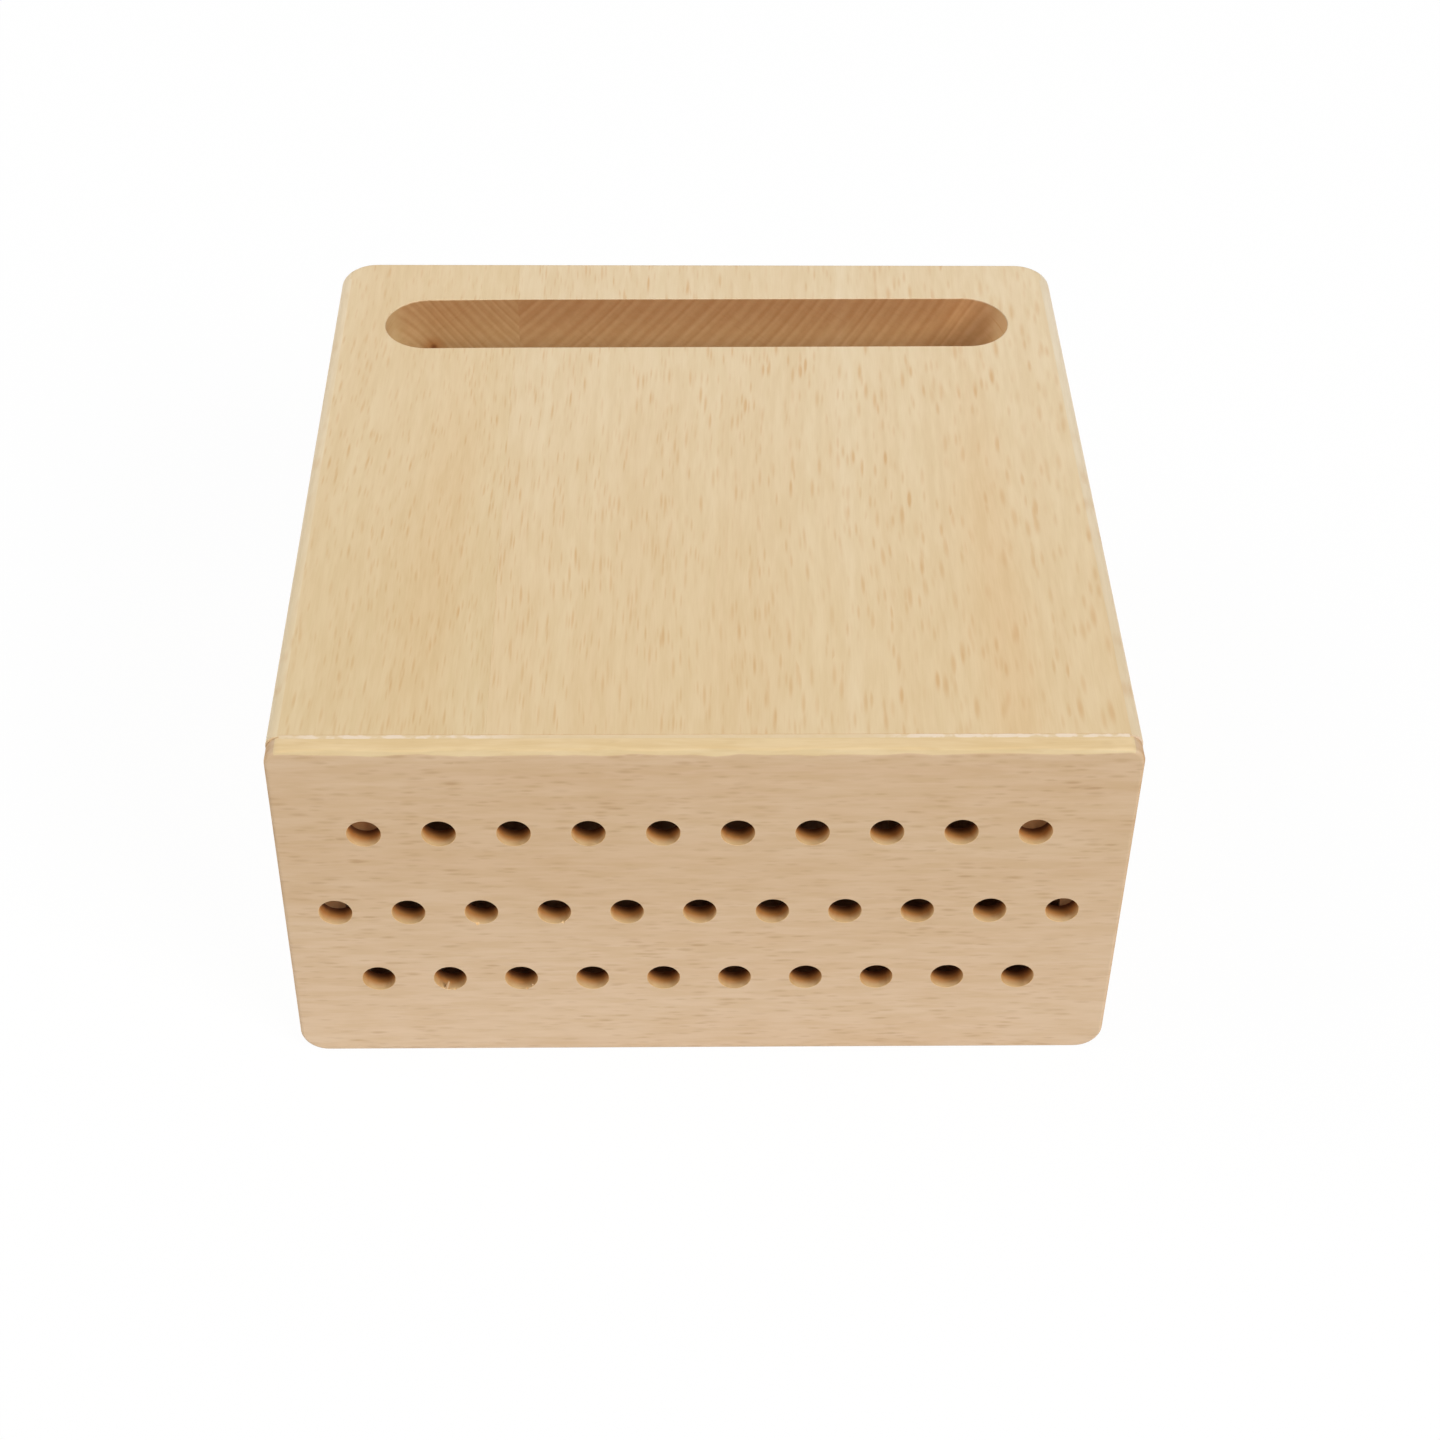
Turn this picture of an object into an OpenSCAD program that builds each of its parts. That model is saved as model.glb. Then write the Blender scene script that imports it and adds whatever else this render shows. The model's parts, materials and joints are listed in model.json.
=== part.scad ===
// Hollow beech tool caddy: a box of glued boards, lying on its bottom panel.
// The thin front plate is drilled for tool shanks and the top panel has a long slot.
// X runs along the plate, Y from the plate to the back, Z up. The origin is the
// centre of the underside.

/* [Block] */
// Width of the block, along the plate
block_w = 150; // [144:1:190]
// Depth of the block, from the face of the plate to the back
block_d = 155.5; // [120:0.5:220]
// Height of the block as it lies
block_h = 75.5; // [70:0.5:100]
// Radius of the rounded lower side edges
corner_r = 5; // [2:0.5:8]
// Radius of the upright back edges
back_corner_r = 6.5; // [2:0.5:8]
// Radius sanded on the upper side edges
side_ease = 2.2; // [0.4:0.1:3]
// Radius sanded on the back's upper and lower edges
edge_ease = 1.2; // [0.4:0.1:2]
// Radius sanded round the face of the plate
face_ease = 0.8; // [0.4:0.1:1.5]

/* [Boards] */
// Thickness of the drilled plate
plate_t = 4; // [3:0.5:8]
// Thickness of the slotted top panel
top_t = 13; // [10:0.5:15]
// Thickness of the bottom panel
bottom_t = 13; // [10:0.5:15]
// Thickness of the side boards
side_t = 10.5; // [8:0.5:13]
// Thickness of the back board
back_t = 10.5; // [8:0.5:16]
// Width of the narrow board in each edge-glued panel
narrow_w = 37.5; // [25:0.5:60]

/* [Tool holes] */
// Diameter of each hole
hole_d = 6; // [4:0.1:7]
// Holes in the middle row; the rows above and below have one fewer
middle_row_holes = 11; // [3:1:12]
// Distance from each side of the plate to the centre of the middle row's end hole
hole_margin = 10; // [8:0.5:20]
// Depth of the first row's centres below the top
first_row_drop = 19.1; // [18.2:0.1:24]
// Height of the last row's centres above the underside
last_row_rise = 19.7; // [18.2:0.1:24]
// How far the middle row sits below the midline of the other two
middle_row_sag = 1.1; // [-2:0.1:2]
// Sideways offset of the whole pattern from the middle of the plate
pattern_shift = -0.8; // [-1.5:0.1:1.5]

/* [Slot] */
// Width of the slot; its ends are half circles of this diameter
slot_w = 18; // [12:0.5:30]
// Distance from each end of the slot to the inner face of the side board
slot_end_gap = 0.1; // [0:0.1:20]
// Distance from the slot to the inner face of the back board
slot_back_gap = 3.7; // [1:0.1:20]

/* [Glue blocks] */
// Width and height of the square blocks glued into the upper corners
glue_block_w = 10; // [9:0.5:14]
// Length of the glue blocks, from the plate backwards
glue_block_l = 30; // [15:1:60]

/* [Hidden] */
$fn = 64;

left = -block_w / 2;
right = block_w / 2;
front = -block_d / 2;
back = block_d / 2;
plate_back = front + plate_t;          // boards butt against this plane
cavity_left = left + side_t;
cavity_right = right - side_t;
cavity_back = back - back_t;
cavity_floor = bottom_t;
cavity_roof = block_h - top_t;
top_seam = left + narrow_w;            // edge joint of the top panel
bottom_seam = right - narrow_w;        // the bottom panel is the same stock turned over
hole_pitch = (block_w - 2 * hole_margin) / (middle_row_holes - 1);
first_row_z = block_h - first_row_drop;
last_row_z = last_row_rise;
middle_row_z = (first_row_z + last_row_z) / 2 - middle_row_sag;
slot_half_l = cavity_right - slot_end_gap;
slot_y = cavity_back - slot_back_gap - slot_w / 2;
through = 1;                           // length by which every cutter runs past the wood

// Rectangle centred on X with its low edge on Y = 0 and true arcs at its corners.
module rounded_rectangle(w, h, r_low, r_high) {
    difference() {
        translate([-w / 2, 0]) square([w, h]);
        for (side = [-1, 1]) {
            translate([side * w / 2, 0]) corner_waste(-side, 1, r_low);
            translate([side * w / 2, h]) corner_waste(-side, -1, r_high);
        }
    }
}

// What a rounding of radius r takes off a corner; the wood lies towards (toward_x, toward_y).
module corner_waste(toward_x, toward_y, r) {
    difference() {
        translate([toward_x < 0 ? -r : -through, toward_y < 0 ? -r : -through])
            square(r + through);
        translate([toward_x * r, toward_y * r]) circle(r);
    }
}

// Outer shape of the whole glued and sanded block.
module block_outside() {
    intersection() {
        // seen from the front
        translate([0, back + through, 0]) rotate([90, 0, 0])
            linear_extrude(block_d + 2 * through)
                rounded_rectangle(block_w, block_h, corner_r, side_ease);
        // seen from above
        translate([0, front, -through])
            linear_extrude(block_h + 2 * through)
                rounded_rectangle(block_w, block_d, face_ease, back_corner_r);
        // seen from the side: the rectangle's low edge becomes the front face
        translate([left - through, front, block_h / 2]) rotate([0, 90, 0])
            linear_extrude(block_w + 2 * through)
                rounded_rectangle(block_h, block_d, face_ease, edge_ease);
    }
}

// One board of the block between two opposite corners, with the block's own edges.
module board(low, high) {
    intersection() {
        block_outside();
        translate(low) cube(high - low);
    }
}

// Holes of one row at height z, centred on the pattern's middle line.
module hole_row(count, z) {
    for (i = [0 : count - 1])
        translate([pattern_shift + (i - (count - 1) / 2) * hole_pitch, plate_back + through, z])
            rotate([90, 0, 0]) cylinder(h = plate_t + 2 * through, d = hole_d);
}

module tool_holes() {
    hole_row(middle_row_holes - 1, first_row_z);
    hole_row(middle_row_holes, middle_row_z);
    hole_row(middle_row_holes - 1, last_row_z);
}

// Round-ended slot that opens the cavity upwards.
module slot_cutter() {
    reach = slot_half_l - slot_w / 2;
    translate([0, slot_y, cavity_roof - through]) {
        translate([-reach, -slot_w / 2, 0]) cube([2 * reach, slot_w, top_t + 2 * through]);
        for (side = [-1, 1])
            translate([side * reach, 0, 0]) cylinder(h = top_t + 2 * through, d = slot_w);
    }
}

module hole_plate() {
    color([0.82, 0.70, 0.56])
        difference() {
            board([left, front, 0], [right, plate_back, block_h]);
            tool_holes();
        }
}

module top_board_narrow() {
    color([0.86, 0.76, 0.59])
        difference() {
            board([left, plate_back, cavity_roof], [top_seam, back, block_h]);
            slot_cutter();
        }
}

module top_board_wide() {
    color([0.88, 0.79, 0.63])
        difference() {
            board([top_seam, plate_back, cavity_roof], [right, back, block_h]);
            slot_cutter();
        }
}

module left_side() {
    color([0.84, 0.73, 0.57])
        board([left, plate_back, cavity_floor], [cavity_left, back, cavity_roof]);
}

module right_side() {
    color([0.85, 0.74, 0.58])
        board([cavity_right, plate_back, cavity_floor], [right, back, cavity_roof]);
}

module bottom_board_narrow() {
    color([0.83, 0.72, 0.56])
        board([bottom_seam, plate_back, 0], [right, back, cavity_floor]);
}

module bottom_board_wide() {
    color([0.86, 0.76, 0.60])
        board([left, plate_back, 0], [bottom_seam, back, cavity_floor]);
}

module back_board() {
    color([0.84, 0.73, 0.58])
        board([cavity_left, cavity_back, cavity_floor], [cavity_right, back, cavity_roof]);
}

// Square block in the upper corner behind the plate, against the side board at x.
module glue_block(x) {
    translate([x, plate_back, cavity_roof - glue_block_w])
        cube([glue_block_w, glue_block_l, glue_block_w]);
}

module left_glue_block() {
    color([0.80, 0.67, 0.50]) glue_block(cavity_left);
}

module right_glue_block() {
    color([0.80, 0.67, 0.50]) glue_block(cavity_right - glue_block_w);
}

hole_plate();
top_board_narrow();
top_board_wide();
left_side();
right_side();
bottom_board_narrow();
bottom_board_wide();
back_board();
left_glue_block();
right_glue_block();
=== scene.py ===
"""Looks of a hollow beech tool caddy: a glued box with a drilled plate and a slotted top.

X runs along the drilled plate, Y from the plate to the back and Z up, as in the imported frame.
Meshes are in metres. Shader patterns are worked out in millimetres, because wood is fine stuff.
"""

import json
import logging
import math
from collections.abc import Callable, Iterable
from dataclasses import dataclass, field, replace
from enum import Enum

import bmesh
import bpy
from mathutils import Matrix, Vector

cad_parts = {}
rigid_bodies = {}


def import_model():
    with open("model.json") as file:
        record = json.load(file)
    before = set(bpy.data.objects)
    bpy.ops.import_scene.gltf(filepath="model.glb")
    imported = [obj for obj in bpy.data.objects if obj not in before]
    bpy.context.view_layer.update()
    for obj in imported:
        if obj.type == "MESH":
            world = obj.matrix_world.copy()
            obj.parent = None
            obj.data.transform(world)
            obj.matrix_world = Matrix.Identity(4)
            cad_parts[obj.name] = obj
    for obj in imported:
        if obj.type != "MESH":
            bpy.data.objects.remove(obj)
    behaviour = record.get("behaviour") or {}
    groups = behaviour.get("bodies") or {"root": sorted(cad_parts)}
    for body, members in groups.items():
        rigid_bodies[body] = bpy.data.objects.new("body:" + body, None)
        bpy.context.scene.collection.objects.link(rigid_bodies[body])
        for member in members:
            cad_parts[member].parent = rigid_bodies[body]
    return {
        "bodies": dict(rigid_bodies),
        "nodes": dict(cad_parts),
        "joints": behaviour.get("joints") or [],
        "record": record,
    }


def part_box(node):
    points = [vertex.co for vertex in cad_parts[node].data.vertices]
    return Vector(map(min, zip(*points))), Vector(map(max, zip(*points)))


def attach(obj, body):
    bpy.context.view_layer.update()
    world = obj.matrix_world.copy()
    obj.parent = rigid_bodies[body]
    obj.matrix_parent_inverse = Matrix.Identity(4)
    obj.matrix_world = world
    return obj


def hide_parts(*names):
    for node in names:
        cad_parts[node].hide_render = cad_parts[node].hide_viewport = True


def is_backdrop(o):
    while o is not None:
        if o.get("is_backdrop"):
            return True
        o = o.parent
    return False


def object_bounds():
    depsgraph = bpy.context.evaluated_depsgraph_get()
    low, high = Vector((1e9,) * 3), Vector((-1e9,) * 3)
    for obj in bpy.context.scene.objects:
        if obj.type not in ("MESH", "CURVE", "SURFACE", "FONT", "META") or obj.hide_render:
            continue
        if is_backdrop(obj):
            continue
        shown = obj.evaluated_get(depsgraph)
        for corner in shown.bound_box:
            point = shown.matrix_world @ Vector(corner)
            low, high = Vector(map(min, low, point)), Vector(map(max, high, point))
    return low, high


LOG = logging.getLogger("tool_caddy")
MM = 0.001
BODY = "root"
FADE_REACH = 70.0  # how far from the middle a board's tone keeps changing, in mm
TOUCH = 2e-6  # places closer than this are the same place, in metres
FLUSH = 1e-5  # a board whose side is this close to the block's is flush with it, in metres
ALIGNED = 0.999  # cosine from which a direction counts as along another
SQUARE = 0.1  # cosine up to which a direction counts as square to another
NEARLY = 0.9999  # share from which a whole counts as reached
SMOOTH_ANGLE = math.radians(35)  # faces that meet at less are shaded as one surface
WHITE = (1.0, 1.0, 1.0, 1.0)

Colour = tuple[float, float, float]
EdgeTest = Callable[[bmesh.types.BMEdge], bool]
PlaceTest = Callable[[Vector], bool]
Inlay = tuple[bpy.types.Material, PlaceTest]
Pieces = dict[str, bpy.types.Object]


def srgb(red: int, green: int, blue: int) -> Colour:
    """Turns a colour as screens show it, 0 to 255, into the linear one that shaders use."""
    shares = (level / 255 for level in (red, green, blue))
    return tuple(s / 12.92 if s <= 0.04045 else ((s + 0.055) / 1.055) ** 2.4 for s in shares)


# ------------------------------------------------------------------ shader writing


class Socket:
    """One output of a shader node that takes part in Python arithmetic."""

    def __init__(self, shader: "Shader", link: bpy.types.NodeSocket) -> None:
        """Keeps the shader that owns the node, and the node's output."""
        self.shader = shader
        self.link = link

    def sibling(self, output: int | str) -> "Socket":
        """Another output of the same node."""
        return Socket(self.shader, self.link.node.outputs[output])

    def _math(self, operation: str, first: "Value", second: "Value") -> "Socket":
        """Adds a Math node for a two-sided operator."""
        return self.shader.maths(operation, first, second)

    def __add__(self, other: "Value") -> "Socket":
        """Sum of two values."""
        return self._math("ADD", self, other)

    def __radd__(self, other: "Value") -> "Socket":
        """Sum of two values."""
        return self._math("ADD", other, self)

    def __sub__(self, other: "Value") -> "Socket":
        """This value less the other."""
        return self._math("SUBTRACT", self, other)

    def __rsub__(self, other: "Value") -> "Socket":
        """The other value less this one."""
        return self._math("SUBTRACT", other, self)

    def __mul__(self, other: "Value") -> "Socket":
        """Product of two values."""
        return self._math("MULTIPLY", self, other)

    def __rmul__(self, other: "Value") -> "Socket":
        """Product of two values."""
        return self._math("MULTIPLY", other, self)

    def __truediv__(self, other: "Value") -> "Socket":
        """This value divided by the other."""
        return self._math("DIVIDE", self, other)

    def __mod__(self, other: "Value") -> "Socket":
        """What is left of this value after whole steps of the other."""
        return self._math("FLOORED_MODULO", self, other)

    def __abs__(self) -> "Socket":
        """This value without its sign."""
        return self.shader.maths("ABSOLUTE", self)


Value = Socket | float
Owner = bpy.types.Material | bpy.types.World


class Shader:
    """The nodes of a material or of the world, under construction."""

    def __init__(self, owner: Owner) -> None:
        """Empties the owner's node tree.

        Args:
            owner: the new material or world.
        """
        self.owner = owner
        self.owner.use_nodes = True
        self.tree = self.owner.node_tree
        self.tree.nodes.clear()

    def node(
        self,
        kind: str,
        settings: dict | None = None,
        inputs: dict | None = None,
        output: int | str = 0,
    ) -> Socket:
        """Adds a node, sets it up and feeds its sockets.

        Args:
            kind: the node's Blender type.
            settings: attributes of the node, which are set before its sockets.
            inputs: values or sockets, by name or number of the input.
            output: name or number of the output that is wanted.

        Returns:
            The wanted output.
        """
        node = self.tree.nodes.new(kind)
        for attribute, setting in (settings or {}).items():
            setattr(node, attribute, setting)
        for place, given in (inputs or {}).items():
            if isinstance(given, Socket):
                self.tree.links.new(given.link, node.inputs[place])
            else:
                node.inputs[place].default_value = given
        return Socket(self, node.outputs[output])

    def maths(self, operation: str, *values: Value) -> Socket:
        """Adds a Math node for one or two values."""
        return self.node("ShaderNodeMath", {"operation": operation}, dict(enumerate(values)))

    def place(self) -> Socket:
        """Place on the object, as a vector in mm."""
        metres = self.node("ShaderNodeTexCoord", output="Object")
        return self.node("ShaderNodeVectorMath", {"operation": "SCALE"}, {0: metres, 3: 1 / MM})

    def vector(self, x: Value, y: Value, z: Value) -> Socket:
        """Joins three values to a vector."""
        return self.node("ShaderNodeCombineXYZ", None, {0: x, 1: y, 2: z})

    def noise(self, place: Socket, detail: float = 1.0) -> Socket:
        """Smooth noise, mostly 0.25 to 0.75, with features about one unit across."""
        inputs = {"Vector": place, "Scale": 1.0, "Detail": detail}
        return self.node("ShaderNodeTexNoise", None, inputs)

    def ramp(self, value: Socket, low: float, high: float) -> Socket:
        """Smooth step from 0 at low to 1 at high, falling where low is the greater."""
        inputs = {"Value": value, "From Min": low, "From Max": high}
        return self.node("ShaderNodeMapRange", {"interpolation_type": "SMOOTHSTEP"}, inputs)

    def mix(self, share: Value, first: Socket | Colour, second: Socket | Colour) -> Socket:
        """Blends from the first colour to the second."""
        return self._colours("MIX", share, first, second)

    def tint(self, share: Value, base: Socket | Colour, factor: Socket | Colour) -> Socket:
        """Multiplies a colour by a factor, as far as share goes."""
        return self._colours("MULTIPLY", share, base, factor)

    def _colours(self, blend: str, share: Value, *pair: Socket | Colour) -> Socket:
        """Adds a Mix node for a pair of colours.

        Args:
            blend: how the node blends them.
            share: how far it does, 0 to 1.
            *pair: the two colours.

        Returns:
            The blend.
        """
        first, second = ((*c, 1.0) if isinstance(c, tuple) else c for c in pair)
        settings = {"data_type": "RGBA", "blend_type": blend}
        return self.node("ShaderNodeMix", settings, {0: share, 6: first, 7: second}, 2)

    def seen(self) -> Socket:
        """Where the eye looks: straight, through gloss or through glass.

        Returns:
            1 for such a ray, and 0 for one that carries light to the object.
        """
        path = self.node("ShaderNodeLightPath", output="Is Camera Ray")
        rays = path + path.sibling("Is Glossy Ray") + path.sibling("Is Transmission Ray")
        return self.maths("MINIMUM", rays, 1.0)

    def finish(self, surface: Socket) -> Owner:
        """Joins the surface to the owner's output.

        Args:
            surface: the finished surface.

        Returns:
            The material or world.
        """
        kind = "World" if isinstance(self.owner, bpy.types.World) else "Material"
        output = self.tree.nodes.new("ShaderNodeOutput" + kind)
        self.tree.links.new(surface.link, output.inputs["Surface"])
        return self.owner


# ------------------------------------------------------------------ finishes


class Fibres(Enum):
    """How a board lies in its log: the axis along its fibres, then the two across them."""

    ALONG_X = (0, 1, 2)
    ALONG_Y = (1, 0, 2)


@dataclass(frozen=True)
class Streak:
    """A long band of another tone in a board.

    Attributes:
        across: place of its middle line, in mm across the fibres.
        width: half of its width, in mm, with a soft edge of about the same size.
        tone: colour factor at its middle line.
        start: where along the fibres it begins to show, in mm.
        end: where along the fibres it shows fully, in mm.
    """

    across: float
    width: float
    tone: Colour
    start: float = -300.0
    end: float = -299.0


@dataclass(frozen=True)
class Scorch:
    """A small round burn that a cutter left.

    Attributes:
        place: its middle, in mm.
        core: radius of the dark middle, in mm.
        halo: radius of the browned wood around it, in mm.
    """

    place: tuple[float, float, float]
    core: float
    halo: float


@dataclass(frozen=True)
class Shade:
    """A tone that deepens along one axis, mostly painted light and painted shade.

    Attributes:
        axis: the axis, 0 for X to 2 for Z.
        start: where the tone begins, in mm.
        end: where it is full, in mm.
        tone: its colour factor.
    """

    axis: int
    start: float
    end: float
    tone: Colour


# Colour factors of what all beech shows, and how plainly its end grain shows some of it.
BAND_TONE = (0.955, 0.91, 0.86)
CLOUD_TONE = (0.97, 0.94, 0.90)
RING_TONE = (0.80, 0.66, 0.52)
THREAD_TONE = (0.93, 0.90, 0.83)
FIBRE_TONE = (0.98, 0.97, 0.955)
BROWNED = (0.85, 0.62, 0.42)
BURNT = (0.45, 0.28, 0.18)
END_RINGS = 0.65
END_RAYS = 0.25


@dataclass(frozen=True)
class BeechFinish:
    """Fine-sanded bare beech, cut from its own place in a log.

    Attributes:
        name: name of the material.
        fibres: how the board lies in its log.
        heart: place of the log's heart across the fibres, in mm.
        face: colour of the wood along its fibres.
        seed: shifts every pattern, so that no two boards are alike.
        lean: how far the grain drifts sideways per unit of length.
        rings: how plainly the yearly rings show along the fibres.
        rays: how plainly the rays show as short dashes.
        threads: how plainly fine mottled streaks show.
        ray_size: size of the dashes, where 1 makes them about 3 mm long.
        ray_tone: colour factor of the dashes.
        bands: how plainly broad bands of tone show.
        end_tone: colour factor of the end grain.
        streaks: long bands of another tone.
        scorches: burns left by a cutter.
        fade: colour factor of the end of the board that points to the front or left.
        cut_tone_and_painted_light: colour factor over the whole surface: the tone that a cutter
            left where no sander reached, and on the roundings, the holes and the inner sides
            painted light and painted shade.
        shades: tones that deepen along an axis.
        ring_gap: distance between yearly rings, in mm.
    """

    name: str
    fibres: Fibres
    heart: tuple[float, float]
    face: Colour
    seed: float
    lean: float = 0.0
    rings: float = 0.08
    rays: float = 1.0
    threads: float = 0.65
    ray_size: float = 1.0
    ray_tone: Colour = (0.88, 0.74, 0.60)
    bands: float = 0.4
    end_tone: Colour = (0.93, 0.73, 0.57)
    streaks: tuple[Streak, ...] = ()
    scorches: tuple[Scorch, ...] = ()
    fade: Colour | None = None
    cut_tone_and_painted_light: Colour | None = None
    shades: tuple[Shade, ...] = ()
    ring_gap: float = 2.6

    def material(self) -> bpy.types.Material:
        """Builds the node material.

        Returns:
            The finished material.
        """
        s = Shader(bpy.data.materials.new(self.name))
        place = s.place()
        parts = s.node("ShaderNodeSeparateXYZ", None, {0: place})
        along, across, deep = (parts.sibling(axis) for axis in self.fibres.value)

        # Each pattern divides a place by the size of its features, in mm.
        drift = s.noise(s.vector(along / 60 + self.seed, across / 50, deep / 50))
        side = across - along * self.lean + (drift - 0.5) * 4.0
        out, up = side - self.heart[0], deep - self.heart[1]
        spoke = s.vector(out, up, 0.0)
        radius = s.node("ShaderNodeVectorMath", {"operation": "LENGTH"}, {0: spoke}, "Value")
        round_it = s.maths("ARCTAN2", up, out) * math.hypot(*self.heart)

        end = s.ramp(self._along_normal(s), 0.45, 0.85)
        ring = self._ring(s, radius, along)
        ray = self._ray(s, round_it, along, radius)
        fibre = s.noise(s.vector(side / 0.25, along / 6 + self.seed, deep / 0.25), 2.0)
        thread = s.noise(s.vector(side / 1.5 + self.seed, along / 11, deep / 1.5), 3.0)
        band = s.noise(s.vector(side / 5, along / 150 + self.seed, deep / 7 + self.seed), 2.0)
        cloud = s.noise(s.vector(side / 24, along / 60, deep / 20 + self.seed))

        ring_share = self.rings + end * (END_RINGS - self.rings)
        ray_share = self.rays - end * (self.rays - END_RAYS)
        colour = s.tint(s.ramp(band, 0.3, 0.7) * self.bands, self.face, BAND_TONE)
        colour = s.tint(s.ramp(cloud, 0.35, 0.7) * self.bands, colour, CLOUD_TONE)
        colour = s.tint(ring * ring_share, colour, RING_TONE)
        colour = s.tint(ray * ray_share, colour, self.ray_tone)
        colour = s.tint(s.ramp(thread, 0.3, 0.7) * self.threads, colour, THREAD_TONE)
        colour = s.tint(s.ramp(fibre, 0.3, 0.7), colour, FIBRE_TONE)
        colour = s.tint(end, colour, self.end_tone)
        if self.fade is not None:
            colour = s.tint(s.ramp(along, FADE_REACH, -FADE_REACH), colour, self.fade)
        colour = self._marks(s, colour, place, side, along)
        if self.cut_tone_and_painted_light is not None:
            colour = s.tint(1.0, colour, self.cut_tone_and_painted_light)
        for shade in self.shades:
            depth = s.ramp(parts.sibling(shade.axis), shade.start, shade.end)
            colour = s.tint(depth, colour, shade.tone)

        height = fibre * 0.5 - ray * 0.35 + ring * 0.15
        relief = {"Strength": 0.25, "Distance": 0.06 * MM, "Height": height}
        look = {
            "Base Color": colour,
            "Roughness": 0.5 + fibre * 0.12 + end * 0.12,
            "Specular IOR Level": 0.5,
            "Normal": s.node("ShaderNodeBump", None, relief),
        }
        return s.finish(s.node("ShaderNodeBsdfPrincipled", None, look))

    def _along_normal(self, s: Shader) -> Socket:
        """How far the surface faces along the fibres, 0 to 1."""
        facing = s.node("ShaderNodeNewGeometry", output="Normal")
        return abs(s.node("ShaderNodeSeparateXYZ", None, {0: facing}, self.fibres.value[0]))

    def _marks(
        self, s: Shader, colour: Socket, place: Socket, side: Socket, along: Socket
    ) -> Socket:
        """Adds the streaks and the burns.

        Args:
            s: the shader under construction.
            colour: the wood's colour without them.
            place: place on the object, in mm.
            side: place across the fibres, in mm.
            along: place along the fibres, in mm.

        Returns:
            The wood's colour with them.
        """
        for streak in self.streaks:
            shows = s.ramp(abs(side - streak.across), 2 * streak.width, 0.2 * streak.width)
            shows = shows * s.ramp(along, streak.start, streak.end)
            colour = s.tint(shows, colour, streak.tone)
        for scorch in self.scorches:
            ends = {0: place, 1: scorch.place}
            away = s.node("ShaderNodeVectorMath", {"operation": "DISTANCE"}, ends, 1)
            colour = s.tint(s.ramp(away, scorch.halo, 0.3), colour, BROWNED)
            colour = s.tint(s.ramp(away, scorch.core, 0.3), colour, BURNT)
        return colour

    def _ring(self, s: Shader, radius: Socket, along: Socket) -> Socket:
        """Yearly rings: pale early wood that darkens to a thin sharp line.

        Args:
            s: the shader under construction.
            radius: distance from the heart of the log, in mm.
            along: place along the fibres, in mm.

        Returns:
            Darkness of the ring, 0 to 1.
        """
        uneven = s.noise(s.vector(radius / 6 + self.seed, along / 400, self.seed))
        years = radius / self.ring_gap + (uneven - 0.5) * 1.4
        share = years % 1.0
        late = s.ramp(share, 0.0, 0.7) * s.ramp(share, 1.0, 0.72)
        fine = (years * 1.83 + 0.37) % 1.0
        inner = s.ramp(fine, 0.1, 0.65) * s.ramp(fine, 1.0, 0.6)
        return late * 0.7 + inner * 0.3

    def _ray(self, s: Shader, round_it: Socket, along: Socket, radius: Socket) -> Socket:
        """Rays: thin spindles that lie across the rings.

        Args:
            s: the shader under construction.
            round_it: place round the log, in mm.
            along: place along the fibres, in mm.
            radius: distance from the heart of the log, in mm.

        Returns:
            Darkness of the rays, 0 to 1.
        """
        total: Socket | None = None
        for step, (thick, tall, deep, strength) in enumerate(
            ((0.6, 7.0, 25.0, 0.9), (0.42, 5.0, 15.0, 0.75))
        ):
            spindle = s.vector(
                round_it / (thick * self.ray_size) + self.seed,
                along / (tall * self.ray_size) + 7.3 * step,
                radius / deep,
            )
            inputs = {"Vector": spindle, "Scale": 1.0, "Randomness": 1.0}
            cell = s.node("ShaderNodeTexVoronoi", None, inputs)
            luck = s.node("ShaderNodeSeparateColor", None, {0: cell.sibling("Color")})
            mark = s.ramp(cell, 0.45, 0.06) * s.ramp(luck, 0.15, 0.9) * strength
            total = mark if total is None else total + mark
        patch = s.noise(s.vector(round_it / 11, along / 25, radius / 20 + self.seed))
        return total * (0.6 + s.ramp(patch, 0.3, 0.65) * 0.4)


@dataclass(frozen=True)
class GlueFinish:
    """Dried white glue, milky where it is thick.

    Attributes:
        name: name of the material.
        milky: colour where the glue is thick.
        thin: colour where the wood shows through it.
        joint: place of the joint along Y, in mm.
        left_run: where it swells at the left: it begins, is full, sinks and ends, in mm.
        right_run: where it swells at the right: it begins and is full, in mm.
    """

    name: str = "dried_glue"
    milky: Colour = srgb(241, 221, 196)
    thin: Colour = srgb(228, 202, 160)
    joint: float = -73.75
    left_run: tuple[float, float, float, float] = (-74.0, -66.0, -40.0, -30.0)
    right_run: tuple[float, float] = (26.0, 38.0)

    def material(self) -> bpy.types.Material:
        """Builds the node material.

        Returns:
            The finished material.
        """
        s = Shader(bpy.data.materials.new(self.name))
        x = s.node("ShaderNodeSeparateXYZ", None, {0: s.place()})
        y = x.sibling(1)
        blob = s.noise(s.vector(x / 2.1, y / 1.6, 0.4), 2.0) - abs(y - self.joint) * 0.2
        begins, full, sinks, ends = self.left_run
        left = s.ramp(x, begins, full) * s.ramp(x, ends, sinks)
        share = s.ramp(blob, 0.34, 0.52) * (0.15 + (left + s.ramp(x, *self.right_run)) * 0.85)
        look = {
            "Base Color": s.mix(share, self.thin, self.milky),
            "Roughness": 0.55 - share * 0.15,
            "Specular IOR Level": 0.4,
        }
        return s.finish(s.node("ShaderNodeBsdfPrincipled", None, look))


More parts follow.
